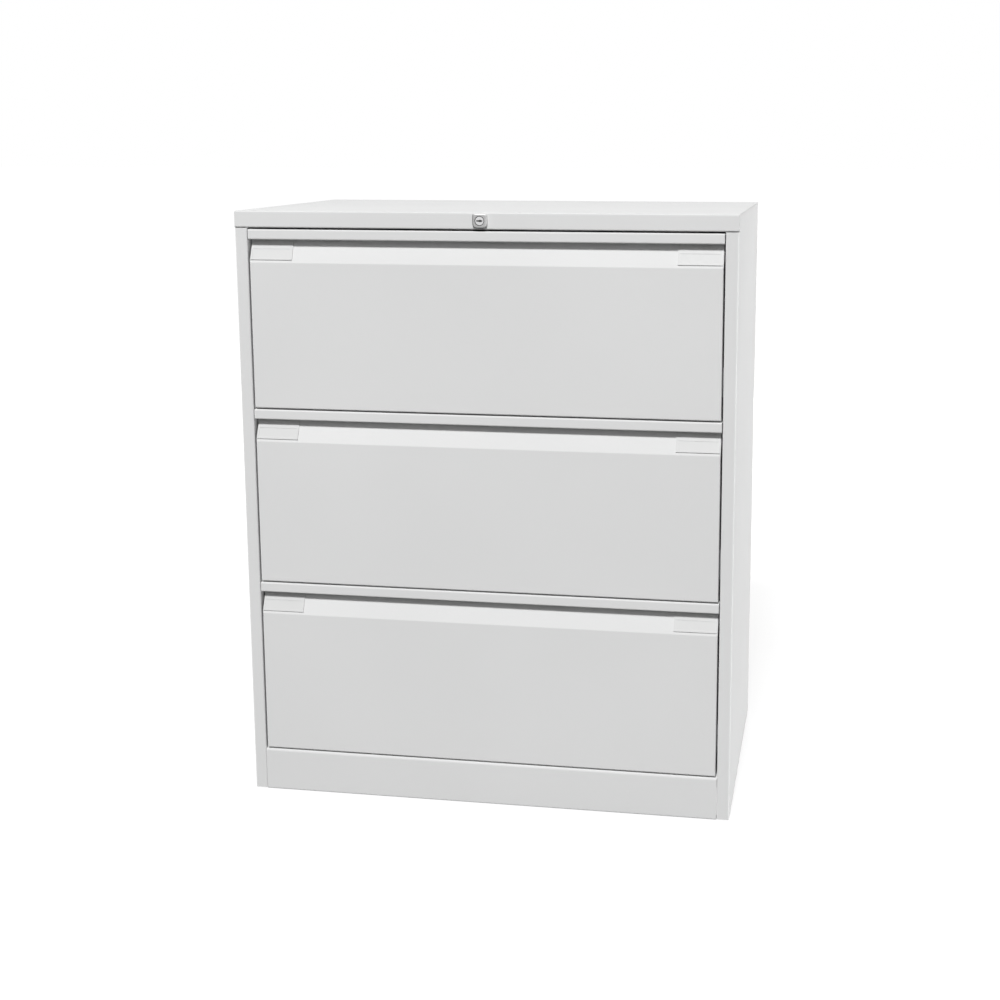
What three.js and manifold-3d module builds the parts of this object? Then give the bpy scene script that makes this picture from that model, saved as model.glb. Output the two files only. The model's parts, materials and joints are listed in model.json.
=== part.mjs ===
// Lateral filing cabinet: a folded steel case with wide drawers on telescopic runners,
// a cam lock in the top lip that lifts a locking bar, and levelling feet behind the plinth.
// Millimetres, +Z up, the front faces -Y, the origin is the middle of the footprint on the floor.

import * as THREE from 'three';
import { mergeVertices } from 'three/addons/utils/BufferGeometryUtils.js';
import Module from 'manifold-3d';

const wasm = await Module();
wasm.setup();

// Case
const CASE_WIDTH = 800;
const CASE_DEPTH = 500;
const CASE_HEIGHT = 970;
const SHEET = 1.2;
const BEND = 1;
const FIT = 0.35;
const SEAM = 0.8;
const TOP_LIP = 26;
const REAR_LIP = 20;
const STILE_WIDTH = 20.3;
const STILE_RETURN = 16;
const REAR_FLANGE = 18;
const PLINTH_HEIGHT = 71;
const PLINTH_RETURN = 16;
const PLINTH_LEDGE = 22;
const PLINTH_BEND = 2.4;
const SIDE_LIFT = 1.5;
const BASE_FLANGE = 20;
const BACK_FOOT = 14;

// Uprights that carry the runners
const UPRIGHT_WIDTH = 40;
const UPRIGHT_INSET = 24;
const UPRIGHT_DROP = 12;
const SLOT_PITCH = 58;
const SLOT_HEIGHT = 14;
const SLOT_WIDTH = 4;

// Drawers
const DRAWER_NAMES = ['top', 'middle', 'bottom'];
const TOP_GAP = 3;
const DRAWER_GAP = 2.5;
const SIDE_GAP = 2.7;
const PULL_END_GAP = 1.4;
const FRONT_DEPTH = 18.4;
const FRONT_EDGE_RADIUS = 2;
const FRONT_INNER_FLANGE = 18;
const PULL_LIP = 16;
const PULL_LIP_RETURN = 3.6;
const PULL_LEG = 18;
const CREASE_DROP = 52.6;
const BEVEL_HEAD = { drop: 17.6, depth: 16.2 };
const BEVEL_BEND = 3;
const FLOOR_RISE = 12;
const TRAY_INSET = 11;
const TRAY_WALL = 238;
const TRAY_HEM = 8;
const TRAY_REAR_ROOM = 52;
const BACK_HOOK = 10;
const BACK_SOLE = 9;
const FILE_SPAN = 387;
const FILE_RAIL_THICK = 2.4;
const FILE_RAIL_HEIGHT = 20;
const FILE_RAIL_PROUD = 4;
const LABEL_WIDTH = 70;
const LABEL_THICK = 1.4;
const LABEL_RISE = 4.2;
const LABEL_HEAD_ROOM = 4;
const LABEL_FRAME = 3;
const LABEL_WINDOW_DEPTH = 0.4;
const LABEL_WINDOW_HEIGHT = 14;

// Telescopic runners
const RUNNER_WIDTH = 12.7;
const RUNNER_HEIGHT = 45;
const RUNNER_TAIL = 2.75;
const RUNNER_RISE = 46;
const RUNNER_CLEARANCE = 0.35;
const RUNNER_LIP_GAP = 1.4;

// Lock and its linkage
const LOCK_DROP = 12.6;
const LOCK_PROUD = 5;
const LOCK_WIDTH = 23.6;
const LOCK_HEIGHT = 23.6;
const LOCK_TOP_RADIUS = 4;
const LOCK_BOTTOM_RADIUS = 7;
const LOCK_CHAMFER = 2.6;
const LOCK_BARREL_RADIUS = 9.5;
const LOCK_BARREL_LENGTH = 22;
const CYLINDER_RADIUS = 7.3;
const CYLINDER_SINK = 0.6;
const CYLINDER_TAIL = 2;
const KEYWAY_LENGTH = 8.8;
const KEYWAY_WIDTH = 2.2;
const KEYWAY_DEPTH = 9;
const LOCK_TURN = Math.PI / 2;
const ROD_RADIUS = 4;
const CRANK_RADIUS = 8;
const CRANK_THICK = 3;
const CRANK_PIN_RADIUS = 2;
const CRANK_PIN_PLAY = 0.5;
const CRANK_EYE_RADIUS = 3;
const BAR_WIDTH = 24;
const BAR_THICK = 3;
const BAR_CENTRE_X = 7;
const BAR_SLOT_WALL = 2;
const BAR_TAIL = 45;
const FINGER_WIDTH = 6;
const FINGER_ARM = 4;
const FINGER_RISE = 24;
const FINGER_DROP = 3;
const STRIKER_RISE = 150;
const STRIKER_WIDTH = 40;
const STRIKER_THICK = 1.6;
const STRIKER_REACH = 34;
const STRIKER_HOLE = 11;
const STRIKER_HOLE_MARGIN = 7;
const GUIDE_FOOT = 12;
const GUIDE_HEIGHT = 22;
const GUIDE_BEND = 0.2;
const BRACKET_HALF_WIDTH = 16;
const BRACKET_FOOT = 18;
const BRACKET_DROP = 26;
const BRACKET_INSET = 60;

// Levelling feet
const FOOT_INSET_X = 50;
const FOOT_INSET_Y = 58;
const FOOT_CLEARANCE = 1;
const FOOT_PAD_RADIUS = 16;
const FOOT_PAD_HEIGHT = 9;
const FOOT_STEM_RADIUS = 5;
const FOOT_STEM_ABOVE = 13;
const FOOT_STEM_PLAY = 0.4;
const FOOT_SHOULDER_RADIUS = 9.6;
const FOOT_EDGE = 1;

// Fineness of round forms
const ROUND_SIDES = 24;
const ARC_STEP = Math.PI / 6;
const CHAMFER_STEPS = 3;
const MERGE_DISTANCE = 1e-4;

// Places worked out from the driving dimensions
const HALF_WIDTH = CASE_WIDTH / 2;
const FRONT_Y = (LOCK_PROUD - CASE_DEPTH) / 2;
const BACK_Y = FRONT_Y + CASE_DEPTH;
const LIP_BOTTOM = CASE_HEIGHT - TOP_LIP;
const BACK_PANEL_REAR = BACK_Y - SHEET - FIT;
const BACK_PANEL_FACE = BACK_PANEL_REAR - SHEET;
const WALL_FACE = HALF_WIDTH - SHEET - FIT;
const BASE_TOP = PLINTH_HEIGHT - SHEET - FIT;
const DRAWER_PITCH = (LIP_BOTTOM - TOP_GAP - PLINTH_HEIGHT) / DRAWER_NAMES.length;
const FRONT_HEIGHT = DRAWER_PITCH - DRAWER_GAP;
const OPENING_HALF = HALF_WIDTH - STILE_WIDTH;
const FRONT_HALF = OPENING_HALF - SIDE_GAP;
const PULL_HALF = OPENING_HALF - PULL_END_GAP;
const TRAY_HALF = FRONT_HALF - TRAY_INSET;
const FRONT_BACK_Y = FRONT_Y + FRONT_DEPTH;
const TRAY_FRONT_Y = FRONT_BACK_Y + FIT;
const TRAY_BACK_Y = BACK_Y - TRAY_REAR_ROOM;
const INNER_RUNNER_X = TRAY_HALF + FIT;
const OUTER_RUNNER_X = INNER_RUNNER_X + RUNNER_WIDTH;
const UPRIGHT_X = OUTER_RUNNER_X + FIT;
const LOCK_Z = CASE_HEIGHT - LOCK_DROP;
const CRANK_DROP = CRANK_RADIUS * Math.sin(LOCK_TURN / 2);
const CRANK_REACH = CRANK_RADIUS * Math.cos(LOCK_TURN / 2);
const BAR_REAR_Y = BACK_PANEL_FACE - FIT;
const BAR_FRONT_Y = BAR_REAR_Y - BAR_THICK;
const CRANK_REAR_Y = BAR_FRONT_Y - FIT;

// Finishes
const paint = new THREE.MeshStandardMaterial({
  color: 0xdadada, roughness: 0.45, metalness: 0, flatShading: true,
});
const moulding = new THREE.MeshStandardMaterial({
  color: 0xe2e2e1, roughness: 0.5, metalness: 0, flatShading: true,
});
const zinc = new THREE.MeshStandardMaterial({
  color: 0xa9adb0, roughness: 0.35, metalness: 1, flatShading: true,
});
const chrome = new THREE.MeshStandardMaterial({
  color: 0xc9cacc, roughness: 0.2, metalness: 1, flatShading: true,
});
const rubber = new THREE.MeshStandardMaterial({
  color: 0x232323, roughness: 0.8, metalness: 0, flatShading: true,
});

// Solids and booleans

function toSolid(geometry) {
  geometry.deleteAttribute('normal');
  geometry.deleteAttribute('uv');
  const merged = mergeVertices(geometry, MERGE_DISTANCE);
  return new wasm.Manifold(new wasm.Mesh({
    numProp: 3,
    vertProperties: new Float32Array(merged.attributes.position.array),
    triVerts: new Uint32Array(merged.index.array),
  }));
}

function toGeometry(solid) {
  const mesh = solid.getMesh();
  const geometry = new THREE.BufferGeometry();
  geometry.setAttribute('position', new THREE.BufferAttribute(new Float32Array(mesh.vertProperties), 3));
  geometry.setIndex(new THREE.BufferAttribute(new Uint32Array(mesh.triVerts), 1));
  return geometry;
}

function extrude(points, length, bevel = null) {
  const shape = new THREE.Shape(points.map(([a, b]) => new THREE.Vector2(a, b)));
  const chamfer = {
    bevelThickness: bevel, bevelSize: bevel, bevelOffset: -bevel, bevelSegments: CHAMFER_STEPS,
  };
  const edges = bevel === null ? { bevelEnabled: false } : chamfer;
  return new THREE.ExtrudeGeometry(shape, { depth: length, ...edges });
}

// A (y, z) outline swept along X
function alongX(outline, x0, x1) {
  const turn = new THREE.Matrix4().set(0, 0, 1, x0, 1, 0, 0, 0, 0, 1, 0, 0, 0, 0, 0, 1);
  return toSolid(extrude(outline, x1 - x0).applyMatrix4(turn));
}

// An (x, z) outline swept along Y
function alongY(outline, y0, y1, bevel = null) {
  const turn = new THREE.Matrix4().set(0, 1, 0, 0, 0, 0, 1, y0, 1, 0, 0, 0, 0, 0, 0, 1);
  const swapped = outline.map(([x, z]) => [z, x]);
  return toSolid(extrude(swapped, y1 - y0, bevel).applyMatrix4(turn));
}

// An (x, y) outline swept along Z
function alongZ(outline, z0, z1) {
  return toSolid(extrude(outline, z1 - z0).translate(0, 0, z0));
}

function box([x0, x1], [y0, y1], [z0, z1]) {
  const geometry = new THREE.BoxGeometry(x1 - x0, y1 - y0, z1 - z0);
  return toSolid(geometry.translate((x0 + x1) / 2, (y0 + y1) / 2, (z0 + z1) / 2));
}

// A round bar along Y
function roundBar(radius, x, z, y0, y1) {
  const geometry = new THREE.CylinderGeometry(radius, radius, y1 - y0, ROUND_SIDES);
  return toSolid(geometry.translate(x, (y0 + y1) / 2, 0).translate(0, 0, z));
}

function mirrored(outline, side) {
  return outline.map(([x, other]) => [side * x, other]);
}

// A stretch of X on the left or right half, lower end first
function span(side, near, far) {
  return side > 0 ? [near, far] : [-far, -near];
}

// Folded sheet: the path is the face that shows, the metal lies on its left.
// A path point may carry its own inner bend radius as a third value.
function foldLines(path, thickness) {
  const face = [];
  const rear = [];
  path.forEach(([a, b, bend = BEND], index) => {
    const point = new THREE.Vector2(a, b);
    const previous = path[index - 1];
    const next = path[index + 1];
    const incoming = previous && point.clone().sub(new THREE.Vector2(previous[0], previous[1])).normalize();
    const outgoing = next && new THREE.Vector2(next[0], next[1]).sub(point).normalize();
    if (!incoming || !outgoing) {
      const along = incoming ?? outgoing;
      const left = new THREE.Vector2(-along.y, along.x);
      face.push([a, b]);
      rear.push([a + left.x * thickness, b + left.y * thickness]);
      return;
    }
    const angle = Math.atan2(incoming.cross(outgoing), incoming.dot(outgoing));
    const side = Math.sign(angle);
    const faceRadius = side > 0 ? bend + thickness : bend;
    const rearRadius = side > 0 ? bend : bend + thickness;
    const start = point.clone().addScaledVector(incoming, -faceRadius * Math.tan(Math.abs(angle) / 2));
    const inward = new THREE.Vector2(-incoming.y, incoming.x).multiplyScalar(side);
    const centre = start.clone().addScaledVector(inward, faceRadius);
    const steps = Math.max(1, Math.round(Math.abs(angle) / ARC_STEP));
    for (let step = 0; step <= steps; step += 1) {
      const radial = inward.clone().negate().rotateAround(new THREE.Vector2(), angle * step / steps);
      face.push([centre.x + radial.x * faceRadius, centre.y + radial.y * faceRadius]);
      rear.push([centre.x + radial.x * rearRadius, centre.y + radial.y * rearRadius]);
    }
  });
  return { face, rear };
}

function foldedSheet(path, thickness = SHEET) {
  const { face, rear } = foldLines(path, thickness);
  return [...face, ...rear.reverse()];
}

// Points of an arc, for outlines with round corners
function arc(cx, cy, radius, from, to) {
  const steps = Math.ceil(Math.abs(to - from) / ARC_STEP);
  return Array.from({ length: steps + 1 }, (_, step) => {
    const angle = from + (to - from) * step / steps;
    return [cx + radius * Math.cos(angle), cy + radius * Math.sin(angle)];
  });
}

const cabinet = new THREE.Group();

function addPiece(name, solid, material) {
  const mesh = new THREE.Mesh(toGeometry(solid), material);
  mesh.name = name;
  cabinet.add(mesh);
}

// Case panels

function sidePanel(side) {
  const path = [
    [OPENING_HALF, FRONT_Y + STILE_RETURN],
    [OPENING_HALF, FRONT_Y],
    [HALF_WIDTH, FRONT_Y],
    [HALF_WIDTH, BACK_Y],
    [HALF_WIDTH - REAR_FLANGE, BACK_Y],
  ];
  const across = span(side, OPENING_HALF - SEAM, HALF_WIDTH + SEAM);
  const lipNotch = box(across, [FRONT_Y - SEAM, FRONT_Y + SHEET + SEAM], [LIP_BOTTOM - SEAM, CASE_HEIGHT]);
  const rearNotch = box(across, [BACK_Y - SHEET - SEAM, BACK_Y + SEAM],
    [CASE_HEIGHT - REAR_LIP - SEAM, CASE_HEIGHT]);
  return alongZ(mirrored(foldedSheet(path), side), SIDE_LIFT, CASE_HEIGHT - SHEET - FIT)
    .subtract(lipNotch)
    .subtract(rearNotch);
}

function topPanel() {
  const path = [
    [BACK_Y, CASE_HEIGHT - REAR_LIP],
    [BACK_Y, CASE_HEIGHT],
    [FRONT_Y, CASE_HEIGHT],
    [FRONT_Y, LIP_BOTTOM],
    [FRONT_Y + STILE_RETURN, LIP_BOTTOM],
  ];
  let panel = alongX(foldedSheet(path), -HALF_WIDTH, HALF_WIDTH);
  for (const side of [-1, 1]) {
    panel = panel.subtract(box(
      span(side, OPENING_HALF - SEAM, HALF_WIDTH + SEAM),
      [FRONT_Y + SHEET, FRONT_Y + STILE_RETURN + SEAM],
      [LIP_BOTTOM - SEAM, LIP_BOTTOM + SHEET + BEND],
    ));
  }
  const lockHole = roundBar(LOCK_BARREL_RADIUS + FIT, 0, LOCK_Z, FRONT_Y - SEAM, FRONT_Y + SHEET + SEAM);
  return panel.subtract(lockHole);
}

function backPanel() {
  const path = [
    [BACK_PANEL_REAR - BACK_FOOT, 0],
    [BACK_PANEL_REAR, 0],
    [BACK_PANEL_REAR, CASE_HEIGHT - SHEET - FIT],
  ];
  return alongX(foldedSheet(path), -WALL_FACE, WALL_FACE);
}

function footPlaces() {
  const places = [];
  for (const [row, y] of [['front', FRONT_Y + FOOT_INSET_Y], ['rear', BACK_Y - FOOT_INSET_Y]]) {
    for (const [end, side] of [['left', -1], ['right', 1]]) {
      places.push({ name: `${row}_${end}_foot`, x: side * (HALF_WIDTH - FOOT_INSET_X), y });
    }
  }
  return places;
}

// A shape turned about a vertical line through (x, y)
function turned(profile, x, y) {
  const points = profile.map(([radius, z]) => new THREE.Vector2(radius, z));
  const geometry = new THREE.LatheGeometry(points, ROUND_SIDES);
  return toSolid(geometry.rotateX(Math.PI / 2).translate(x, y, 0));
}

function basePanel() {
  const front = FRONT_Y + STILE_RETURN + FIT;
  const rear = BACK_PANEL_FACE - FIT;
  const path = [
    [rear, BASE_TOP - BASE_FLANGE],
    [rear, BASE_TOP],
    [front, BASE_TOP],
    [front, BASE_TOP - BASE_FLANGE],
  ];
  const radius = FOOT_STEM_RADIUS + FOOT_STEM_PLAY;
  const low = BASE_TOP - BASE_FLANGE;
  const high = BASE_TOP + SEAM;
  const hole = [[0, low], [radius, low], [radius, high], [0, high]];
  return footPlaces().reduce(
    (pan, { x, y }) => pan.subtract(turned(hole, x, y)),
    alongX(foldedSheet(path), -WALL_FACE, WALL_FACE),
  );
}

function plinth() {
  const path = [
    [FRONT_Y + PLINTH_LEDGE, PLINTH_HEIGHT],
    [FRONT_Y, PLINTH_HEIGHT, PLINTH_BEND],
    [FRONT_Y, 0],
    [FRONT_Y + PLINTH_RETURN, 0],
  ];
  const half = OPENING_HALF - FIT;
  return alongX(foldedSheet(path), -half, half);
}

function levellingFoot({ x, y }) {
  const padTop = FOOT_CLEARANCE + FOOT_PAD_HEIGHT;
  const stemTop = BASE_TOP + FOOT_STEM_ABOVE;
  return turned([
    [0, FOOT_CLEARANCE],
    [FOOT_PAD_RADIUS - FOOT_EDGE, FOOT_CLEARANCE],
    [FOOT_PAD_RADIUS, FOOT_CLEARANCE + FOOT_EDGE],
    [FOOT_PAD_RADIUS, FOOT_CLEARANCE + FOOT_PAD_HEIGHT / 2],
    [FOOT_SHOULDER_RADIUS, padTop],
    [FOOT_STEM_RADIUS, padTop],
    [FOOT_STEM_RADIUS, stemTop - FOOT_EDGE],
    [FOOT_STEM_RADIUS - FOOT_EDGE, stemTop],
    [0, stemTop],
  ], x, y);
}

function upright(side, y0) {
  const y1 = y0 + UPRIGHT_WIDTH;
  const path = [
    [WALL_FACE, y1],
    [UPRIGHT_X, y1],
    [UPRIGHT_X, y0],
    [WALL_FACE, y0],
  ];
  const bottom = BASE_TOP + FIT;
  const top = LIP_BOTTOM - UPRIGHT_DROP;
  const middle = (y0 + y1) / 2;
  let channel = alongZ(mirrored(foldedSheet(path), side), bottom, top);
  for (let z = bottom + SLOT_PITCH / 2; z < top - SLOT_HEIGHT; z += SLOT_PITCH) {
    channel = channel.subtract(box(
      span(side, UPRIGHT_X - SEAM, UPRIGHT_X + SHEET + SEAM),
      [middle - SLOT_WIDTH / 2, middle + SLOT_WIDTH / 2],
      [z, z + SLOT_HEIGHT],
    ));
  }
  return channel;
}

// Telescopic runner: three nested channels, the widest on the uprights

function runnerSections(z) {
  const outerHalf = RUNNER_HEIGHT / 2;
  const middleHalf = outerHalf - SHEET - RUNNER_CLEARANCE;
  const innerHalf = middleHalf - SHEET - RUNNER_CLEARANCE;
  const middleX = OUTER_RUNNER_X - SHEET - RUNNER_CLEARANCE;
  const lipEnd = INNER_RUNNER_X + RUNNER_LIP_GAP;
  const innerEnd = middleX - SHEET - RUNNER_CLEARANCE;
  const towardsTray = (x, half) => [
    [lipEnd, z - half],
    [x, z - half],
    [x, z + half],
    [lipEnd, z + half],
  ];
  return {
    outer: towardsTray(OUTER_RUNNER_X, outerHalf),
    middle: towardsTray(middleX, middleHalf),
    inner: [
      [innerEnd, z + innerHalf],
      [INNER_RUNNER_X, z + innerHalf],
      [INNER_RUNNER_X, z - innerHalf],
      [innerEnd, z - innerHalf],
    ],
  };
}

function runner(path, side) {
  return alongY(mirrored(foldedSheet(path), side), TRAY_FRONT_Y, TRAY_BACK_Y + RUNNER_TAIL);
}

// Drawer pieces

// Front face of a drawer from its top edge down to its bottom edge, as (y, z)
function frontFace(bottom, top) {
  return [
    [FRONT_Y + BEVEL_HEAD.depth, top - SHEET - FIT],
    [FRONT_Y + BEVEL_HEAD.depth, top - BEVEL_HEAD.drop, BEVEL_BEND],
    [FRONT_Y, top - CREASE_DROP, BEND],
    [FRONT_Y, bottom],
  ];
}

function drawerFront(bottom, top) {
  const path = [...frontFace(bottom, top), [FRONT_BACK_Y, bottom]];
  const { face } = foldLines(path, SHEET);
  const endOutline = [...face, [FRONT_BACK_Y, top - SHEET - FIT]];
  const innerTop = top - CREASE_DROP;
  let front = alongX(foldedSheet(path), -FRONT_HALF, FRONT_HALF);
  for (const side of [-1, 1]) {
    front = front.add(alongX(endOutline, ...span(side, FRONT_HALF - SHEET, FRONT_HALF)));
    front = front.add(box(
      span(side, FRONT_HALF - FRONT_INNER_FLANGE, FRONT_HALF),
      [FRONT_BACK_Y - SHEET, FRONT_BACK_Y],
      [bottom, innerTop],
    ));
  }
  const radius = FRONT_EDGE_RADIUS;
  const rounded = [
    ...arc(-FRONT_HALF + radius, FRONT_Y + radius, radius, Math.PI, Math.PI * 1.5),
    ...arc(FRONT_HALF - radius, FRONT_Y + radius, radius, Math.PI * 1.5, Math.PI * 2),
    [FRONT_HALF, FRONT_BACK_Y],
    [-FRONT_HALF, FRONT_BACK_Y],
  ];
  return front.intersect(alongZ(rounded, bottom, top));
}

function drawerPull(top) {
  const legY = FRONT_BACK_Y + FIT + SHEET;
  const path = [
    [legY, top - PULL_LEG],
    [legY, top],
    [FRONT_Y, top],
    [FRONT_Y, top - PULL_LIP],
    [FRONT_Y + PULL_LIP_RETURN, top - PULL_LIP],
  ];
  return alongX(foldedSheet(path), -PULL_HALF, PULL_HALF);
}

// Moulded holder on the bevel at each end of the drawer, with a shallow window for a card
function labelHolder(top, side) {
  const slope = BEVEL_HEAD.depth / (CREASE_DROP - BEVEL_HEAD.drop);
  const crease = top - CREASE_DROP;
  const onBevel = (rise, proud) => [FRONT_Y + rise * slope - proud, crease + rise];
  const path = [
    onBevel(LABEL_RISE, FIT),
    [...onBevel(CREASE_DROP - BEVEL_HEAD.drop, FIT), BEVEL_BEND],
    [FRONT_Y + BEVEL_HEAD.depth - FIT, top - LABEL_HEAD_ROOM],
  ];
  const outer = FRONT_HALF - SEAM;
  const inner = FRONT_HALF - LABEL_WIDTH;
  const plate = alongX(foldedSheet(path, LABEL_THICK), ...span(side, inner, outer));
  const windowProud = FIT + LABEL_THICK - LABEL_WINDOW_DEPTH;
  const windowLow = LABEL_RISE + LABEL_FRAME;
  const windowPath = [
    onBevel(windowLow, windowProud),
    onBevel(windowLow + LABEL_WINDOW_HEIGHT, windowProud),
  ];
  const windowSpan = span(side, inner + LABEL_FRAME, outer - LABEL_FRAME);
  return plate.subtract(alongX(foldedSheet(windowPath, LABEL_THICK), ...windowSpan));
}

function fileRailY() {
  return TRAY_BACK_Y - FILE_SPAN;
}

function drawerTray(floor) {
  const wallTop = floor + TRAY_WALL;
  const path = [
    [-TRAY_HALF - TRAY_HEM, wallTop],
    [-TRAY_HALF, wallTop],
    [-TRAY_HALF, floor],
    [TRAY_HALF, floor],
    [TRAY_HALF, wallTop],
    [TRAY_HALF + TRAY_HEM, wallTop],
  ];
  const half = FILE_RAIL_THICK / 2 + FIT;
  const wide = TRAY_HALF + TRAY_HEM + SEAM;
  const railSeat = box(
    [-wide, wide],
    [fileRailY() - half, fileRailY() + half],
    [wallTop - FILE_RAIL_HEIGHT + FILE_RAIL_PROUD - FIT, wallTop + SHEET + SEAM],
  );
  return alongY(foldedSheet(path), TRAY_FRONT_Y, TRAY_BACK_Y).subtract(railSeat);
}

function fileRail(floor) {
  const top = floor + TRAY_WALL + FILE_RAIL_PROUD;
  const bottom = top - FILE_RAIL_HEIGHT;
  const half = FILE_RAIL_THICK / 2;
  const y = fileRailY();
  const outline = [
    [y - half, bottom],
    [y + half, bottom],
    ...arc(y, top - half, half, 0, Math.PI),
  ];
  const reach = TRAY_HALF + TRAY_HEM;
  return alongX(outline, -reach, reach);
}

function drawerBackFace() {
  return TRAY_BACK_Y - SHEET - BACK_HOOK;
}

function drawerBack(floor) {
  const low = floor + SHEET + FIT + SHEET;
  const high = floor + TRAY_WALL + FILE_RAIL_PROUD;
  const face = drawerBackFace();
  const path = [
    [face + BACK_SOLE, low],
    [face, low],
    [face, high - SHEET],
    [face + BACK_HOOK, high - SHEET],
    [face + BACK_HOOK, high - BACK_HOOK],
  ];
  const half = TRAY_HALF - SHEET - FIT;
  const strikerLow = floor + STRIKER_RISE;
  const strikerEnd = face + STRIKER_REACH;
  const striker = box(
    [BAR_CENTRE_X - STRIKER_WIDTH / 2, BAR_CENTRE_X + STRIKER_WIDTH / 2],
    [face - SHEET, strikerEnd],
    [strikerLow, strikerLow + STRIKER_THICK],
  );
  const hole = box(
    [BAR_CENTRE_X - STRIKER_HOLE / 2, BAR_CENTRE_X + STRIKER_HOLE / 2],
    [strikerEnd - STRIKER_HOLE_MARGIN - STRIKER_HOLE, strikerEnd - STRIKER_HOLE_MARGIN],
    [strikerLow - SEAM, strikerLow + STRIKER_THICK + SEAM],
  );
  return alongX(foldedSheet(path), -half, half).add(striker).subtract(hole);
}

// Lock

function lockHousing() {
  const half = LOCK_WIDTH / 2;
  const top = LOCK_Z + LOCK_HEIGHT / 2;
  const bottom = LOCK_Z - LOCK_HEIGHT / 2;
  const upper = LOCK_TOP_RADIUS;
  const lower = LOCK_BOTTOM_RADIUS;
  const outline = [
    ...arc(half - upper, top - upper, upper, 0, Math.PI / 2),
    ...arc(-half + upper, top - upper, upper, Math.PI / 2, Math.PI),
    ...arc(-half + lower, bottom + lower, lower, Math.PI, Math.PI * 1.5),
    ...arc(half - lower, bottom + lower, lower, Math.PI * 1.5, Math.PI * 2),
  ];
  const front = FRONT_Y - LOCK_PROUD;
  const rear = FRONT_Y - FIT;
  const plate = alongY(outline, front + LOCK_CHAMFER, rear + LOCK_CHAMFER, LOCK_CHAMFER)
    .intersect(box([-half, half], [front, rear], [bottom, top]));
  const barrelEnd = FRONT_Y + LOCK_BARREL_LENGTH;
  return plate
    .add(roundBar(LOCK_BARREL_RADIUS, 0, LOCK_Z, front + LOCK_CHAMFER, barrelEnd))
    .subtract(roundBar(CYLINDER_RADIUS + FIT, 0, LOCK_Z, front - SEAM, barrelEnd + SEAM));
}

function cylinderEnd() {
  return FRONT_Y + LOCK_BARREL_LENGTH + CYLINDER_TAIL;
}

function lockCylinder() {
  const face = FRONT_Y - LOCK_PROUD + CYLINDER_SINK;
  const keyway = box(
    [-KEYWAY_LENGTH / 2, KEYWAY_LENGTH / 2],
    [face - SEAM, face + KEYWAY_DEPTH],
    [LOCK_Z - KEYWAY_WIDTH / 2, LOCK_Z + KEYWAY_WIDTH / 2],
  );
  return roundBar(CYLINDER_RADIUS, 0, LOCK_Z, face, cylinderEnd()).subtract(keyway);
}

// The rod runs under the top to the back, where its crank pin sits in the bar's slot
function lockRod() {
  const crankFront = CRANK_REAR_Y - CRANK_THICK;
  const pinZ = LOCK_Z - CRANK_DROP;
  const armAngle = -LOCK_TURN / 2;
  const arm = [
    ...arc(0, LOCK_Z, ROD_RADIUS, armAngle + Math.PI / 2, armAngle + Math.PI * 1.5),
    ...arc(CRANK_REACH, pinZ, CRANK_EYE_RADIUS, armAngle - Math.PI / 2, armAngle + Math.PI / 2),
  ];
  return roundBar(ROD_RADIUS, 0, LOCK_Z, cylinderEnd() + FIT, CRANK_REAR_Y)
    .add(alongY(arm, crankFront, CRANK_REAR_Y))
    .add(roundBar(CRANK_PIN_RADIUS, CRANK_REACH, pinZ, crankFront, BAR_REAR_Y));
}

function lockRodBracket() {
  const y = CRANK_REAR_Y - BRACKET_INSET;
  const head = CASE_HEIGHT - SHEET - FIT;
  const path = [
    [y, head - BRACKET_DROP],
    [y, head - SHEET],
    [y + BRACKET_FOOT, head - SHEET],
  ];
  return alongX(foldedSheet(path), -BRACKET_HALF_WIDTH, BRACKET_HALF_WIDTH)
    .subtract(roundBar(ROD_RADIUS + FIT, 0, LOCK_Z, y - SHEET - SEAM, y + SEAM));
}

function drawerFloors() {
  return DRAWER_NAMES.map((name, index) => {
    const top = LIP_BOTTOM - TOP_GAP - index * DRAWER_PITCH;
    const bottom = top - FRONT_HEIGHT;
    return { name, top, bottom, floor: bottom + FLOOR_RISE };
  });
}

function lockBar() {
  const pinZ = LOCK_Z - CRANK_DROP;
  const slotHalf = CRANK_PIN_RADIUS + CRANK_PIN_PLAY;
  const floors = drawerFloors();
  const lowest = floors[floors.length - 1].floor + STRIKER_RISE - BAR_TAIL;
  const left = BAR_CENTRE_X - BAR_WIDTH / 2;
  const right = BAR_CENTRE_X + BAR_WIDTH / 2;
  const slot = box(
    [CRANK_REACH - slotHalf, CRANK_RADIUS + slotHalf],
    [BAR_FRONT_Y - SEAM, BAR_REAR_Y + SEAM],
    [pinZ - slotHalf, pinZ + slotHalf],
  );
  const highest = pinZ + slotHalf + BAR_SLOT_WALL;
  let bar = box([left, right], [BAR_FRONT_Y, BAR_REAR_Y], [lowest, highest]).subtract(slot);
  const strikerEnd = drawerBackFace() + STRIKER_REACH;
  const holeMiddle = strikerEnd - STRIKER_HOLE_MARGIN - STRIKER_HOLE / 2;
  for (const { floor } of floors) {
    const tip = floor + STRIKER_RISE - FINGER_DROP;
    const finger = [
      [BAR_FRONT_Y + SHEET, tip - FINGER_RISE - FINGER_ARM],
      [BAR_FRONT_Y + SHEET, tip - FINGER_RISE],
      [holeMiddle + FINGER_WIDTH / 2, tip - FINGER_RISE],
      [holeMiddle + FINGER_WIDTH / 2, tip],
      [holeMiddle - FINGER_WIDTH / 2, tip],
      [holeMiddle - FINGER_WIDTH / 2, tip - FINGER_RISE - FINGER_ARM],
    ];
    bar = bar.add(alongX(finger, BAR_CENTRE_X - FINGER_WIDTH / 2, BAR_CENTRE_X + FINGER_WIDTH / 2));
  }
  return bar;
}

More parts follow.
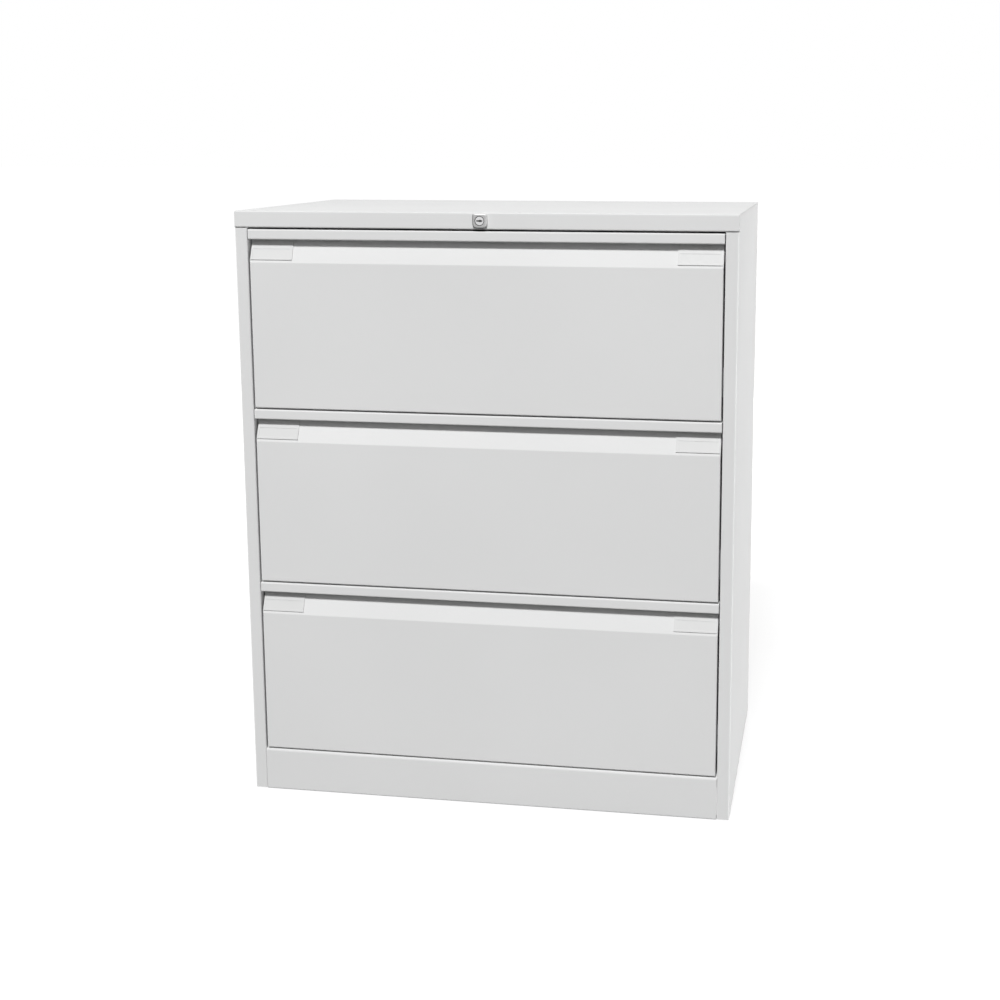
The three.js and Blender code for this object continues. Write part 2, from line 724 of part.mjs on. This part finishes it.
function lockBarGuide() {
  const left = BAR_CENTRE_X - BAR_WIDTH / 2 - FIT - SHEET;
  const right = BAR_CENTRE_X + BAR_WIDTH / 2 + FIT + SHEET;
  const footY = BACK_PANEL_FACE - FIT - SHEET;
  const strapY = BAR_FRONT_Y - FIT - SHEET;
  const path = [
    [left - GUIDE_FOOT, footY],
    [left, footY, GUIDE_BEND],
    [left, strapY, GUIDE_BEND],
    [right, strapY, GUIDE_BEND],
    [right, footY, GUIDE_BEND],
    [right + GUIDE_FOOT, footY],
  ];
  const { floor } = drawerFloors()[1];
  return alongZ(foldedSheet(path), floor, floor + GUIDE_HEIGHT);
}

// Assembly

const SIDES = [['left', -1], ['right', 1]];

for (const [end, side] of SIDES) {
  addPiece(`${end}_side_panel`, sidePanel(side), paint);
}
addPiece('top_panel', topPanel(), paint);
addPiece('back_panel', backPanel(), paint);
addPiece('base_panel', basePanel(), paint);
addPiece('plinth', plinth(), paint);

for (const [end, side] of SIDES) {
  addPiece(`${end}_front_upright`, upright(side, FRONT_Y + UPRIGHT_INSET), zinc);
  addPiece(`${end}_rear_upright`, upright(side, BACK_Y - UPRIGHT_INSET - UPRIGHT_WIDTH), zinc);
}

for (const place of footPlaces()) {
  addPiece(place.name, levellingFoot(place), rubber);
}

for (const { name, top, bottom, floor } of drawerFloors()) {
  addPiece(`${name}_drawer_front`, drawerFront(bottom, top), paint);
  addPiece(`${name}_drawer_pull`, drawerPull(top), paint);
  addPiece(`${name}_drawer_tray`, drawerTray(floor), paint);
  addPiece(`${name}_drawer_back`, drawerBack(floor), paint);
  addPiece(`${name}_drawer_file_rail`, fileRail(floor), zinc);
  for (const [end, side] of SIDES) {
    addPiece(`${name}_drawer_${end}_label_holder`, labelHolder(top, side), moulding);
    const sections = runnerSections(floor + RUNNER_RISE);
    for (const [member, path] of Object.entries(sections)) {
      addPiece(`${name}_${end}_${member}_runner`, runner(path, side), zinc);
    }
  }
}

addPiece('lock_housing', lockHousing(), chrome);
addPiece('lock_cylinder', lockCylinder(), chrome);
addPiece('lock_rod', lockRod(), zinc);
addPiece('lock_rod_bracket', lockRodBracket(), zinc);
addPiece('lock_bar', lockBar(), zinc);
addPiece('lock_bar_guide', lockBarGuide(), zinc);

export default cabinet;
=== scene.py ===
"""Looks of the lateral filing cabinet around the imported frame.

Every solid gets its finish, small fastenings and thin trim are added, and floor, lamps and camera are set up.
"""

import json
import math

import bmesh
import bpy
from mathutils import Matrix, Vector


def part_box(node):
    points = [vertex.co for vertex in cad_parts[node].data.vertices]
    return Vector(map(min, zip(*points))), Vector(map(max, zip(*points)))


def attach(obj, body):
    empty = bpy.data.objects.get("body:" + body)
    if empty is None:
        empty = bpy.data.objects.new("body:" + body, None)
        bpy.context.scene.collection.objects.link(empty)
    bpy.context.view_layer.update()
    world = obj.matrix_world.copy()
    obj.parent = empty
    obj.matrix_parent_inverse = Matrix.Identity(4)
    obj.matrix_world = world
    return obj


MM = 0.001
LEVELS = ("top", "middle", "bottom")
FOOT_CORNERS = ("front_left", "front_right", "rear_left", "rear_right")

# Colours
WHITE = (1.0, 1.0, 1.0, 1.0)
PAINT_GREY = (0.745, 0.747, 0.746)
MOULDING_GREY = (0.69, 0.692, 0.69)
ZINC_GREY = (0.52, 0.535, 0.55)
SCREW_GREY = (0.36, 0.37, 0.39)
CHROME_GREY = (0.62, 0.62, 0.625)
# Lock nickel: painted shade for faces turned down and left, painted highlight for faces turned up and right
NICKEL_PAINTED_SHADE = (0.08, 0.08, 0.083)
NICKEL_PAINTED_LIGHT = (0.70, 0.70, 0.695)
RUBBER_BLACK = (0.03, 0.03, 0.03)
FLOOR_GREY = (0.2, 0.2, 0.2, 1.0)

# Most values of a noise texture lie between these two
NOISE_LOW = 0.3
NOISE_HIGH = 0.7

# Sides of a turned section: none means round
ROUND = 0
HEXAGON = 6
TURNED_STEPS = 24
RING_STEPS = 48
SHARP_ANGLE = math.radians(32.0)

# Sheet of the solids and the gap between fitted ones, in millimetres
SHEET = 1.2
FIT = 0.35

# Lock trim in millimetres, black pieces that paint the shade of the keyway and, in part, of the gap round the
# cylinder:
# the ring's section is out from the cylinder's edge and back from its face, and the outlines are across and
# up from the cylinder's axis
RING_SECTION = ((-0.75, 0.05), (-0.75, -0.2), (-0.45, -0.35), (-0.05, -0.35), (0.2, -0.2), (0.2, 0.3),
                (-0.05, 0.05))
WARDS = ((-4.3, -1.0), (-0.8, -1.0), (0.0, -0.45), (1.2, -0.45), (1.8, -1.0), (4.3, -1.0),
         (4.3, 1.0), (0.9, 1.0), (0.2, 0.5), (-1.0, 0.5), (-1.7, 1.0), (-4.3, 1.0))
WARD_SINK = 0.1
WARD_DEPTH = 6.0
GUIDE_LOWER_HALF = ((-4.9, -0.9), (-1.4, -1.1), (-0.4, -1.8), (2.6, -1.8), (3.6, -0.9), (4.9, -0.8))
GUIDE_THICK = 0.35
EASED_DEPTH = 0.3
EASED_SCALE = 0.93

# Pressed beads in millimetres; the stations are shares of the half width, in from each rounded end
BEAD_COLUMNS = 10
BEAD_STATIONS = (0.02, 0.08, 0.18, 0.34, 0.55, 0.78, 1.0)
BACK_BEAD_PITCH = 210.0
BACK_BEAD_FOOT = 90.0
BACK_BEAD_HEAD_ROOM = 80.0
BACK_BEAD_WIDTH = 30.0
BACK_BEAD_HEIGHT = 1.4
TRAY_BEAD_WIDTH = 20.0
TRAY_BEAD_HEIGHT = 2.0
TRAY_BACK_RISES = (70.0, 130.0, 190.0)
TRAY_BACK_REACH = 310.0
TRAY_SIDE_RISES = (95.0, 165.0)
TRAY_SIDE_FRONT = -165.0
TRAY_SIDE_REAR = 155.0

# Screws and nuts in millimetres
SOCKET_SHARE = 0.36
BACK_SCREW_RADIUS = 4.5
BACK_SCREW_HEIGHT = 1.4
EDGE_SCREW_REACH = 366.0
EDGE_SCREW_FOOT = 50.0
EDGE_SCREW_PITCH = 215.0
EDGE_SCREW_COUNT = 5
CROSS_SCREW_FOOT = 22.0
CROSS_SCREW_HEAD_ROOM = 34.0
RUNNER_SCREW_RADIUS = 3.6
RUNNER_SCREW_HEIGHT = 1.7
RUNNER_SCREW_FRONT = -205.0
RUNNER_SCREW_PITCH = 115.0
RUNNER_SCREW_COUNT = 4
NUT_HOLE = 5.5
NUT_FLATS = 17.0
NUT_HEIGHT = 7.0
NUT_HOLE_CHAMFER = 0.4
NUT_CORNER_CHAMFER = 0.7

# Stage in metres; the floor's glow reaches white at the far distance
FLOOR_HALF = 60.0
GLOW_NEAR = 0.8
GLOW_FAR = 3.0
GLOW_NEAR_LEVEL = 0.83
WORLD_LEVEL = 0.12

# Lamps in metres and watts
KEY_PLACE = (0.0, -8.36, 9.75)
KEY_AIM = (0.0, -0.25, 0.9)
KEY_POWER = 1430.0
KEY_SIZE = 1.47
FRONT_PLACE = (0.0, -4.86, 3.6)
FRONT_AIM = (0.0, -0.25, 0.6)
FRONT_POWER = 38.0
FRONT_SIZE = 4.0
FILL_HEIGHT = 0.75
FILL_AIM_HEIGHT = 0.6
FILL_SIZE = 0.4
SIDE_LAMP_OUT = 4.4
SIDE_LAMP_BACK = 0.3
SIDE_AIM_OUT = 0.4
SIDE_POWER = 136.0
REAR_LAMP_BACK = 4.3
REAR_AIM_BACK = 0.25
REAR_POWER = 92.0

# Camera in metres, degrees and millimetres of film
CAMERA_PLACE = (0.553, -2.5955, 1.077)
CAMERA_TILT_DOWN = 10.18
CAMERA_TURN = 9.58
CAMERA_LENS = 55.7
CAMERA_SENSOR = 36.0
CAMERA_SHIFT_X = -0.08
CAMERA_SHIFT_Y = -0.08

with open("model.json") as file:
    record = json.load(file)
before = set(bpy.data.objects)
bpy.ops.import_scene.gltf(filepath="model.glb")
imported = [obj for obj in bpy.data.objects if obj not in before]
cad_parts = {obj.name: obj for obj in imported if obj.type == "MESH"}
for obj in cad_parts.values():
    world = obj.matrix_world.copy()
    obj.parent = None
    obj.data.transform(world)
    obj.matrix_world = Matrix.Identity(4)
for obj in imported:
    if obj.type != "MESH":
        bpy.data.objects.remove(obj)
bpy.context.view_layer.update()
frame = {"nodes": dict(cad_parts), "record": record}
nodes = frame["nodes"]
slot_of = {part["node"]: part["material_slot"] for part in frame["record"]["subparts"]}

# Materials


def add_node(tree, kind, **settings):
    made = tree.nodes.new(kind)
    for key, value in settings.items():
        setattr(made, key, value)
    return made


def start_material(name, metallic=0.0):
    material = bpy.data.materials.new(name)
    material.use_nodes = True
    tree = material.node_tree
    shader = tree.nodes["Principled BSDF"]
    shader.inputs["Metallic"].default_value = metallic
    place = add_node(tree, "ShaderNodeTexCoord").outputs["Object"]
    return material, tree, shader, place


def noise(tree, place, scale, detail=2.0, stretch=(1.0, 1.0, 1.0)):
    mapping = add_node(tree, "ShaderNodeMapping")
    mapping.inputs["Scale"].default_value = stretch
    tree.links.new(place, mapping.inputs["Vector"])
    made = add_node(tree, "ShaderNodeTexNoise")
    made.inputs["Scale"].default_value = scale
    made.inputs["Detail"].default_value = detail
    tree.links.new(mapping.outputs["Vector"], made.inputs["Vector"])
    return made.outputs["Fac"]


def blend_colours(tree, shader, factor, dark, light, low=0.0, high=1.0):
    ramp = add_node(tree, "ShaderNodeValToRGB")
    ramp.color_ramp.elements[0].position = low
    ramp.color_ramp.elements[0].color = (*dark, 1.0)
    ramp.color_ramp.elements[1].position = high
    ramp.color_ramp.elements[1].color = (*light, 1.0)
    tree.links.new(factor, ramp.inputs["Fac"])
    tree.links.new(ramp.outputs["Color"], shader.inputs["Base Color"])


def shade(colour, factor):
    return tuple(channel * factor for channel in colour)


def mottle(tree, shader, clouds, colour, darkest, lightest):
    """Vary a colour with a noise, between two shares of its own brightness."""
    dark = shade(colour, darkest)
    light = shade(colour, lightest)
    blend_colours(tree, shader, clouds, dark, light, NOISE_LOW, NOISE_HIGH)


def vary_roughness(tree, shader, clouds, low, high):
    ranged = add_node(tree, "ShaderNodeMapRange")
    ranged.inputs["From Min"].default_value = NOISE_LOW
    ranged.inputs["From Max"].default_value = NOISE_HIGH
    ranged.inputs["To Min"].default_value = low
    ranged.inputs["To Max"].default_value = high
    tree.links.new(clouds, ranged.inputs["Value"])
    tree.links.new(ranged.outputs["Result"], shader.inputs["Roughness"])


def bump(tree, shader, height, strength, distance):
    made = add_node(tree, "ShaderNodeBump")
    made.inputs["Strength"].default_value = strength
    made.inputs["Distance"].default_value = distance
    tree.links.new(height, made.inputs["Height"])
    tree.links.new(made.outputs["Normal"], shader.inputs["Normal"])


def powder_coat(name, colour):
    material, tree, shader, place = start_material(name)
    shader.inputs["Specular IOR Level"].default_value = 0.06
    shader.inputs["Diffuse Roughness"].default_value = 0.35
    mottle(tree, shader, noise(tree, place, scale=3.0), colour, darkest=0.985, lightest=1.015)
    vary_roughness(tree, shader, noise(tree, place, scale=60.0), low=0.60, high=0.70)
    bump(tree, shader, noise(tree, place, scale=420.0, detail=4.0), strength=0.22, distance=0.3 * MM)
    return material


def moulded_plastic(name, colour):
    material, tree, shader, place = start_material(name)
    shader.inputs["Specular IOR Level"].default_value = 0.12
    shader.inputs["Diffuse Roughness"].default_value = 0.35
    mottle(tree, shader, noise(tree, place, scale=8.0), colour, darkest=0.985, lightest=1.01)
    vary_roughness(tree, shader, noise(tree, place, scale=120.0), low=0.42, high=0.52)
    bump(tree, shader, noise(tree, place, scale=1600.0), strength=0.05, distance=0.2 * MM)
    return material


def zinc_plate(name, colour):
    """Plated steel with faint crystal cells and streaks along the length."""
    material, tree, shader, place = start_material(name, metallic=1.0)
    cells = add_node(tree, "ShaderNodeTexVoronoi")
    cells.inputs["Scale"].default_value = 70.0
    tree.links.new(place, cells.inputs["Vector"])
    grey = add_node(tree, "ShaderNodeSeparateColor")
    tree.links.new(cells.outputs["Color"], grey.inputs["Color"])
    blend_colours(tree, shader, grey.outputs["Red"], shade(colour, 0.94), shade(colour, 1.05))
    streaks = noise(tree, place, scale=40.0, detail=3.0, stretch=(1.0, 0.05, 6.0))
    vary_roughness(tree, shader, streaks, low=0.36, high=0.50)
    bump(tree, shader, noise(tree, place, scale=500.0), strength=0.04, distance=0.2 * MM)
    return material


def satin_chrome(name, colour):
    material, tree, shader, place = start_material(name, metallic=1.0)
    mottle(tree, shader, noise(tree, place, scale=90.0), colour, darkest=0.96, lightest=1.03)
    vary_roughness(tree, shader, noise(tree, place, scale=700.0, detail=3.0), low=0.18, high=0.30)
    return material


def nickel_painted_shade(name, dark, light):
    """Satin nickel with painted shade on the faces that turn down and to the left, and a painted highlight on
    the others.
    """
    painted_light_side = (0.5, 0.0, 0.85)
    change_reach = 0.6
    material, tree, shader, place = start_material(name, metallic=1.0)
    facing = add_node(tree, "ShaderNodeVectorMath", operation="DOT_PRODUCT")
    facing.inputs[1].default_value = painted_light_side
    tree.links.new(add_node(tree, "ShaderNodeNewGeometry").outputs["Normal"], facing.inputs[0])
    painted_light_share = add_node(tree, "ShaderNodeMapRange")
    painted_light_share.inputs["From Min"].default_value = -change_reach
    painted_light_share.inputs["From Max"].default_value = change_reach
    tree.links.new(facing.outputs["Value"], painted_light_share.inputs["Value"])
    # Painted shade and highlight: the colour follows the way each face turns, not wear
    blend_colours(tree, shader, painted_light_share.outputs["Result"], dark, light)
    vary_roughness(tree, shader, noise(tree, place, scale=700.0, detail=3.0), low=0.24, high=0.36)
    return material


def black_rubber(name, colour):
    material, tree, shader, place = start_material(name)
    mottle(tree, shader, noise(tree, place, scale=40.0), colour, darkest=0.8, lightest=1.3)
    vary_roughness(tree, shader, noise(tree, place, scale=200.0), low=0.65, high=0.85)
    bump(tree, shader, noise(tree, place, scale=900.0), strength=0.2, distance=0.2 * MM)
    return material


FINISHES = {
    "paint": powder_coat("light_grey_paint", PAINT_GREY),
    "moulding": moulded_plastic("grey_moulding", MOULDING_GREY),
    "zinc": zinc_plate("zinc_steel", ZINC_GREY),
    "chrome": satin_chrome("lock_chrome", CHROME_GREY),
    "rubber": black_rubber("foot_rubber", RUBBER_BLACK),
}
screw_steel = zinc_plate("screw_steel", SCREW_GREY)
housing_metal = nickel_painted_shade("lock_nickel_painted_shade", NICKEL_PAINTED_SHADE, NICKEL_PAINTED_LIGHT)

for name, piece in nodes.items():
    piece.data.materials.clear()
    piece.data.materials.append(FINISHES[slot_of[name]])
# The lock housing takes the nickel with painted shade and highlight
nodes["lock_housing"].data.materials[0] = housing_metal

# Small fastenings and trim, each riding on the body that carries it


def ring_of(shape, middle, across, around, radius, sides, steps):
    ring = []
    for step in range(steps):
        turn = 2.0 * math.pi * step / steps
        reach = radius
        if sides:
            half = math.pi / sides
            reach = radius / math.cos(turn % (2.0 * half) - half)
        offset = across * math.cos(turn) + around * math.sin(turn)
        ring.append(shape.verts.new((middle + offset * reach) * MM))
    return ring


def lathe(shape, profile, centre, axis, closed=False, steps=TURNED_STEPS):
    """Turn points of (radius, height, sides) in millimetres round an axis."""
    up = Vector(axis).normalized()
    across = up.orthogonal().normalized()
    around = up.cross(across)
    rings = []
    for radius, height, sides in profile:
        middle = Vector(centre) + up * height
        if radius == 0.0:
            rings.append([shape.verts.new(middle * MM)])
        else:
            rings.append(ring_of(shape, middle, across, around, radius, sides, steps))
    if closed:
        rings.append(rings[0])
    for first, second in zip(rings, rings[1:]):
        for step in range(steps):
            after = step + 1
            corners = [
                first[step % len(first)],
                first[after % len(first)],
                second[after % len(second)],
                second[step % len(second)],
            ]
            shape.faces.new(list(dict.fromkeys(corners)))


def pan_head(shape, centre, axis, radius, height):
    """The rounded head of a screw, with a hexagon socket."""
    socket = radius * SOCKET_SHARE
    rim = height * 0.35
    lathe(shape, [
        (0.0, 0.0, ROUND),
        (radius, 0.0, ROUND),
        (radius, rim, ROUND),
        (radius * 0.86, height * 0.75, ROUND),
        (radius * 0.6, height * 0.97, ROUND),
        (socket * 1.25, height, ROUND),
        (socket, height * 0.95, HEXAGON),
        (socket, height * 0.4, HEXAGON),
        (0.0, rim, ROUND),
    ], centre, axis)


def hex_nut(shape, foot, hole, flats, height):
    edge = flats / 2.0
    bearing = edge * 0.97
    mouth = hole + NUT_HOLE_CHAMFER
    lathe(shape, [
        (hole, NUT_HOLE_CHAMFER, ROUND),
        (mouth, 0.0, ROUND),
        (bearing, 0.0, ROUND),
        (edge, NUT_CORNER_CHAMFER, HEXAGON),
        (edge, height - NUT_CORNER_CHAMFER, HEXAGON),
        (bearing, height, ROUND),
        (mouth, height, ROUND),
        (hole, height - NUT_HOLE_CHAMFER, ROUND),
    ], foot, (0, 0, 1), closed=True)


def pressed_bead(shape, start, end, out, width, height):
    """A long rounded bead that stands out from a panel face, with rounded ends."""
    start, end, out = Vector(start), Vector(end), Vector(out)
    along = (end - start).normalized()
    across = out.cross(along)
    half = width / 2.0
    places = [(start + along * half * share, share) for share in BEAD_STATIONS]
    places += [(end - along * half * share, share) for share in reversed(BEAD_STATIONS)]
    rows = []
    for middle, share in places:
        swell = math.sqrt(1.0 - (1.0 - share) ** 2)
        row = []
        for column in range(BEAD_COLUMNS + 1):
            sideways = 2.0 * column / BEAD_COLUMNS - 1.0
            rise = height * swell * 0.5 * (1.0 + math.cos(math.pi * sideways))
            point = middle + across * half * swell * sideways + out * rise
            row.append(shape.verts.new(point * MM))
        rows.append(row)
    for first, second in zip(rows, rows[1:]):
        for corners in zip(first, first[1:], second[1:], second):
            shape.faces.new(corners)
    border = rows[0] + [row[-1] for row in rows[1:]] + rows[-1][-2::-1]
    border += [row[0] for row in rows[-2:0:-1]]
    shape.faces.new(border)


def slab(shape, outline, front, rear, x, z):
    """A flat piece of the given outline in x and z, with its front edge eased."""
    layers = []
    for y, scale in ((front, EASED_SCALE), (front + EASED_DEPTH, 1.0), (rear, 1.0)):
        layer = []
        for across, up in outline:
            corner = Vector((x + across * scale, y, z + up * scale))
            layer.append(shape.verts.new(corner * MM))
        layers.append(layer)
    shape.faces.new(layers[0])
    shape.faces.new(layers[-1])
    count = len(outline)
    for first, second in zip(layers, layers[1:]):
        for index in range(count):
            after = (index + 1) % count
            shape.faces.new((first[index], first[after], second[after], second[index]))


def make_piece(name, body, finish, build):
    shape = bmesh.new()
    build(shape)
    bmesh.ops.recalc_face_normals(shape, faces=shape.faces)
    mesh = bpy.data.meshes.new(name)
    shape.to_mesh(mesh)
    shape.free()
    mesh.shade_smooth()
    mesh.set_sharp_from_angle(angle=SHARP_ANGLE)
    mesh.materials.append(finish)
    piece = bpy.data.objects.new(name, mesh)
    bpy.context.scene.collection.objects.link(piece)
    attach(piece, body)


def corners_of(node):
    """The low and the high corner of a solid's box, in millimetres."""
    low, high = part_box(node)
    return low / MM, high / MM


def build_lock_trim():
    low, high = corners_of("lock_cylinder")
    x = (low.x + high.x) / 2.0
    z = (low.z + high.z) / 2.0
    radius = (high.x - low.x) / 2.0
    face = low.y
    guide_outline = list(GUIDE_LOWER_HALF) + [(across, -up) for across, up in reversed(GUIDE_LOWER_HALF)]

    # Black ring over the gap round the cylinder: partly a rubber ring, partly painted shade of that gap
    def dust_ring_and_gap_shade(shape):
        profile = [(radius + out, back, ROUND) for out, back in RING_SECTION]
        lathe(shape, profile, (x, face, z), (0, 1, 0), closed=True, steps=RING_STEPS)

    # Black plate just inside the keyway: painted shade of the keyhole's depth
    def wards_painted_shade(shape):
        slab(shape, WARDS, face + WARD_SINK, face + WARD_DEPTH, x, z)

    # Black plate in the keyway's shape on the cylinder face: painted shade of the keyhole
    def key_guide_painted_shade(shape):
        slab(shape, guide_outline, face - GUIDE_THICK, face, x, z)

    make_piece("lock_dust_ring", "lock", FINISHES["rubber"], dust_ring_and_gap_shade)
    make_piece("lock_wards", "lock", FINISHES["rubber"], wards_painted_shade)
    make_piece("lock_key_guide", "lock", FINISHES["rubber"], key_guide_painted_shade)


def build_back_trim():
    high = corners_of("back_panel")[1]
    face = high.y
    out = (0, 1, 0)

    def beads(shape):
        for column in (-1, 0, 1):
            x = column * BACK_BEAD_PITCH
            start = (x, face, BACK_BEAD_FOOT)
            end = (x, face, high.z - BACK_BEAD_HEAD_ROOM)
            pressed_bead(shape, start, end, out, BACK_BEAD_WIDTH, BACK_BEAD_HEIGHT)

    def screws(shape):
        for side in (-1, 1):
            places = []
            for step in range(EDGE_SCREW_COUNT):
                places.append((side * EDGE_SCREW_REACH, EDGE_SCREW_FOOT + EDGE_SCREW_PITCH * step))
            for z in (CROSS_SCREW_FOOT, high.z - CROSS_SCREW_HEAD_ROOM):
                places.append((side * BACK_BEAD_PITCH / 2.0, z))
            for x, z in places:
                pan_head(shape, (x, face, z), out, BACK_SCREW_RADIUS, BACK_SCREW_HEIGHT)

    make_piece("back_panel_beads", "case", FINISHES["paint"], beads)
    make_piece("back_panel_screws", "case", screw_steel, screws)


def build_runner_screws(level):
    def screws(shape):
        for side, hand in ((-1, "left"), (1, "right")):
            low, high = corners_of(f"{level}_{hand}_inner_runner")
            web = low.x + SHEET if side > 0 else high.x - SHEET
            middle = (low.z + high.z) / 2.0
            for step in range(RUNNER_SCREW_COUNT):
                y = RUNNER_SCREW_FRONT + RUNNER_SCREW_PITCH * step
                pan_head(shape, (web, y, middle), (side, 0, 0), RUNNER_SCREW_RADIUS, RUNNER_SCREW_HEIGHT)

    make_piece(f"{level}_runner_screws", f"{level}_drawer", screw_steel, screws)


def build_tray_beads(level):
    back = corners_of(f"{level}_drawer_back")[0].y
    floor = corners_of(f"{level}_drawer_tray")[0].z
    wall = corners_of(f"{level}_right_inner_runner")[0].x - FIT - SHEET

    def beads(shape):
        for rise in TRAY_BACK_RISES:
            start = (-TRAY_BACK_REACH, back, floor + rise)
            end = (TRAY_BACK_REACH, back, floor + rise)
            pressed_bead(shape, start, end, (0, -1, 0), TRAY_BEAD_WIDTH, TRAY_BEAD_HEIGHT)
        for side in (-1, 1):
            for rise in TRAY_SIDE_RISES:
                start = (side * wall, TRAY_SIDE_FRONT, floor + rise)
                end = (side * wall, TRAY_SIDE_REAR, floor + rise)
                pressed_bead(shape, start, end, (-side, 0, 0), TRAY_BEAD_WIDTH, TRAY_BEAD_HEIGHT)

    make_piece(f"{level}_tray_beads", f"{level}_drawer", FINISHES["paint"], beads)


def build_foot_nuts():
    def nuts(shape):
        sheet_underside = corners_of("base_panel")[1].z - SHEET
        for corner in FOOT_CORNERS:
            low, high = corners_of(f"{corner}_foot")
            foot = ((low.x + high.x) / 2.0, (low.y + high.y) / 2.0, sheet_underside - NUT_HEIGHT)
            hex_nut(shape, foot, NUT_HOLE, NUT_FLATS, NUT_HEIGHT)

    make_piece("foot_nuts", "case", screw_steel, nuts)


build_lock_trim()
build_back_trim()
for level in LEVELS:
    build_runner_screws(level)
    build_tray_beads(level)
build_foot_nuts()

# Stage, light and camera


def seen_directly(tree):
    """One for rays from the camera, a reflection or a see-through surface, and zero for light that falls."""
    path = add_node(tree, "ShaderNodeLightPath")
    first = add_node(tree, "ShaderNodeMath", operation="MAXIMUM")
    tree.links.new(path.outputs["Is Camera Ray"], first.inputs[0])
    tree.links.new(path.outputs["Is Glossy Ray"], first.inputs[1])
    second = add_node(tree, "ShaderNodeMath", operation="MAXIMUM")
    tree.links.new(first.outputs[0], second.inputs[0])
    tree.links.new(path.outputs["Is Transmission Ray"], second.inputs[1])
    return second.outputs[0]


def floor_white():
    """A grey floor that takes shadows, lifted to white where it is seen."""
    material = bpy.data.materials.new("floor_white")
    material.use_nodes = True
    tree = material.node_tree
    tree.nodes.clear()
    output = add_node(tree, "ShaderNodeOutputMaterial")
    diffuse = add_node(tree, "ShaderNodeBsdfDiffuse")
    diffuse.inputs["Color"].default_value = FLOOR_GREY
    glow = add_node(tree, "ShaderNodeEmission")
    glow.inputs["Color"].default_value = WHITE
    away = add_node(tree, "ShaderNodeVectorMath", operation="LENGTH")
    tree.links.new(add_node(tree, "ShaderNodeTexCoord").outputs["Object"], away.inputs[0])
    level = add_node(tree, "ShaderNodeMapRange")
    level.inputs["From Min"].default_value = GLOW_NEAR
    level.inputs["From Max"].default_value = GLOW_FAR
    level.inputs["To Min"].default_value = GLOW_NEAR_LEVEL
    level.inputs["To Max"].default_value = 1.0
    tree.links.new(away.outputs["Value"], level.inputs["Value"])
    lift = add_node(tree, "ShaderNodeMath", operation="MULTIPLY")
    tree.links.new(seen_directly(tree), lift.inputs[0])
    tree.links.new(level.outputs["Result"], lift.inputs[1])
    tree.links.new(lift.outputs[0], glow.inputs["Strength"])
    both = add_node(tree, "ShaderNodeAddShader")
    tree.links.new(diffuse.outputs[0], both.inputs[0])
    tree.links.new(glow.outputs[0], both.inputs[1])
    tree.links.new(both.outputs[0], output.inputs["Surface"])
    return material


def make_floor():
    signs = ((-1, -1), (1, -1), (1, 1), (-1, 1))
    corners = [(FLOOR_HALF * x, FLOOR_HALF * y, 0) for x, y in signs]
    mesh = bpy.data.meshes.new("floor")
    mesh.from_pydata(corners, [], [(0, 1, 2, 3)])
    mesh.materials.append(floor_white())
    floor = bpy.data.objects.new("floor", mesh)
    bpy.context.scene.collection.objects.link(floor)


def make_world():
    world = bpy.data.worlds.new("studio")
    bpy.context.scene.world = world
    world.use_nodes = True
    tree = world.node_tree
    background = tree.nodes["Background"]
    background.inputs["Color"].default_value = WHITE
    strength = add_node(tree, "ShaderNodeMapRange")
    strength.inputs["To Min"].default_value = WORLD_LEVEL
    strength.inputs["To Max"].default_value = 1.0
    tree.links.new(seen_directly(tree), strength.inputs["Value"])
    tree.links.new(strength.outputs["Result"], background.inputs["Strength"])


def make_lamp(name, place, aim, power, size, mirrored=True):
    data = bpy.data.lights.new(name, "AREA")
    data.shape = "DISK"
    data.size = size
    data.energy = power
    lamp = bpy.data.objects.new(name, data)
    bpy.context.scene.collection.objects.link(lamp)
    lamp.location = place
    lamp.rotation_mode = "QUATERNION"
    lamp.rotation_quaternion = (Vector(aim) - Vector(place)).to_track_quat("-Z", "Y")
    lamp.visible_camera = False
    lamp.visible_glossy = mirrored


def make_fill_lamps():
    """Low lamps for the sides and the back, left out of reflections, where flat metal would clip to white."""
    for side, hand in ((1, "right"), (-1, "left")):
        place = (side * SIDE_LAMP_OUT, SIDE_LAMP_BACK, FILL_HEIGHT)
        aim = (side * SIDE_AIM_OUT, 0.0, FILL_AIM_HEIGHT)
        make_lamp(f"{hand}_lamp", place, aim, SIDE_POWER, FILL_SIZE, mirrored=False)
    rear_place = (0.0, REAR_LAMP_BACK, FILL_HEIGHT)
    rear_aim = (0.0, REAR_AIM_BACK, FILL_AIM_HEIGHT)
    make_lamp("rear_lamp", rear_place, rear_aim, REAR_POWER, FILL_SIZE, mirrored=False)


def make_camera():
    data = bpy.data.cameras.new("camera")
    data.sensor_width = CAMERA_SENSOR
    data.lens = CAMERA_LENS
    data.shift_x = CAMERA_SHIFT_X
    data.shift_y = CAMERA_SHIFT_Y
    camera = bpy.data.objects.new("camera", data)
    camera.location = CAMERA_PLACE
    camera.rotation_euler = (math.radians(90.0 - CAMERA_TILT_DOWN), 0.0, math.radians(CAMERA_TURN))
    bpy.context.scene.collection.objects.link(camera)
    bpy.context.scene.camera = camera


make_floor()
make_world()
make_lamp("key_lamp", KEY_PLACE, KEY_AIM, KEY_POWER, KEY_SIZE)
make_lamp("front_lamp", FRONT_PLACE, FRONT_AIM, FRONT_POWER, FRONT_SIZE)
make_fill_lamps()
make_camera()

scene = bpy.context.scene
scene.view_settings.view_transform = "Standard"
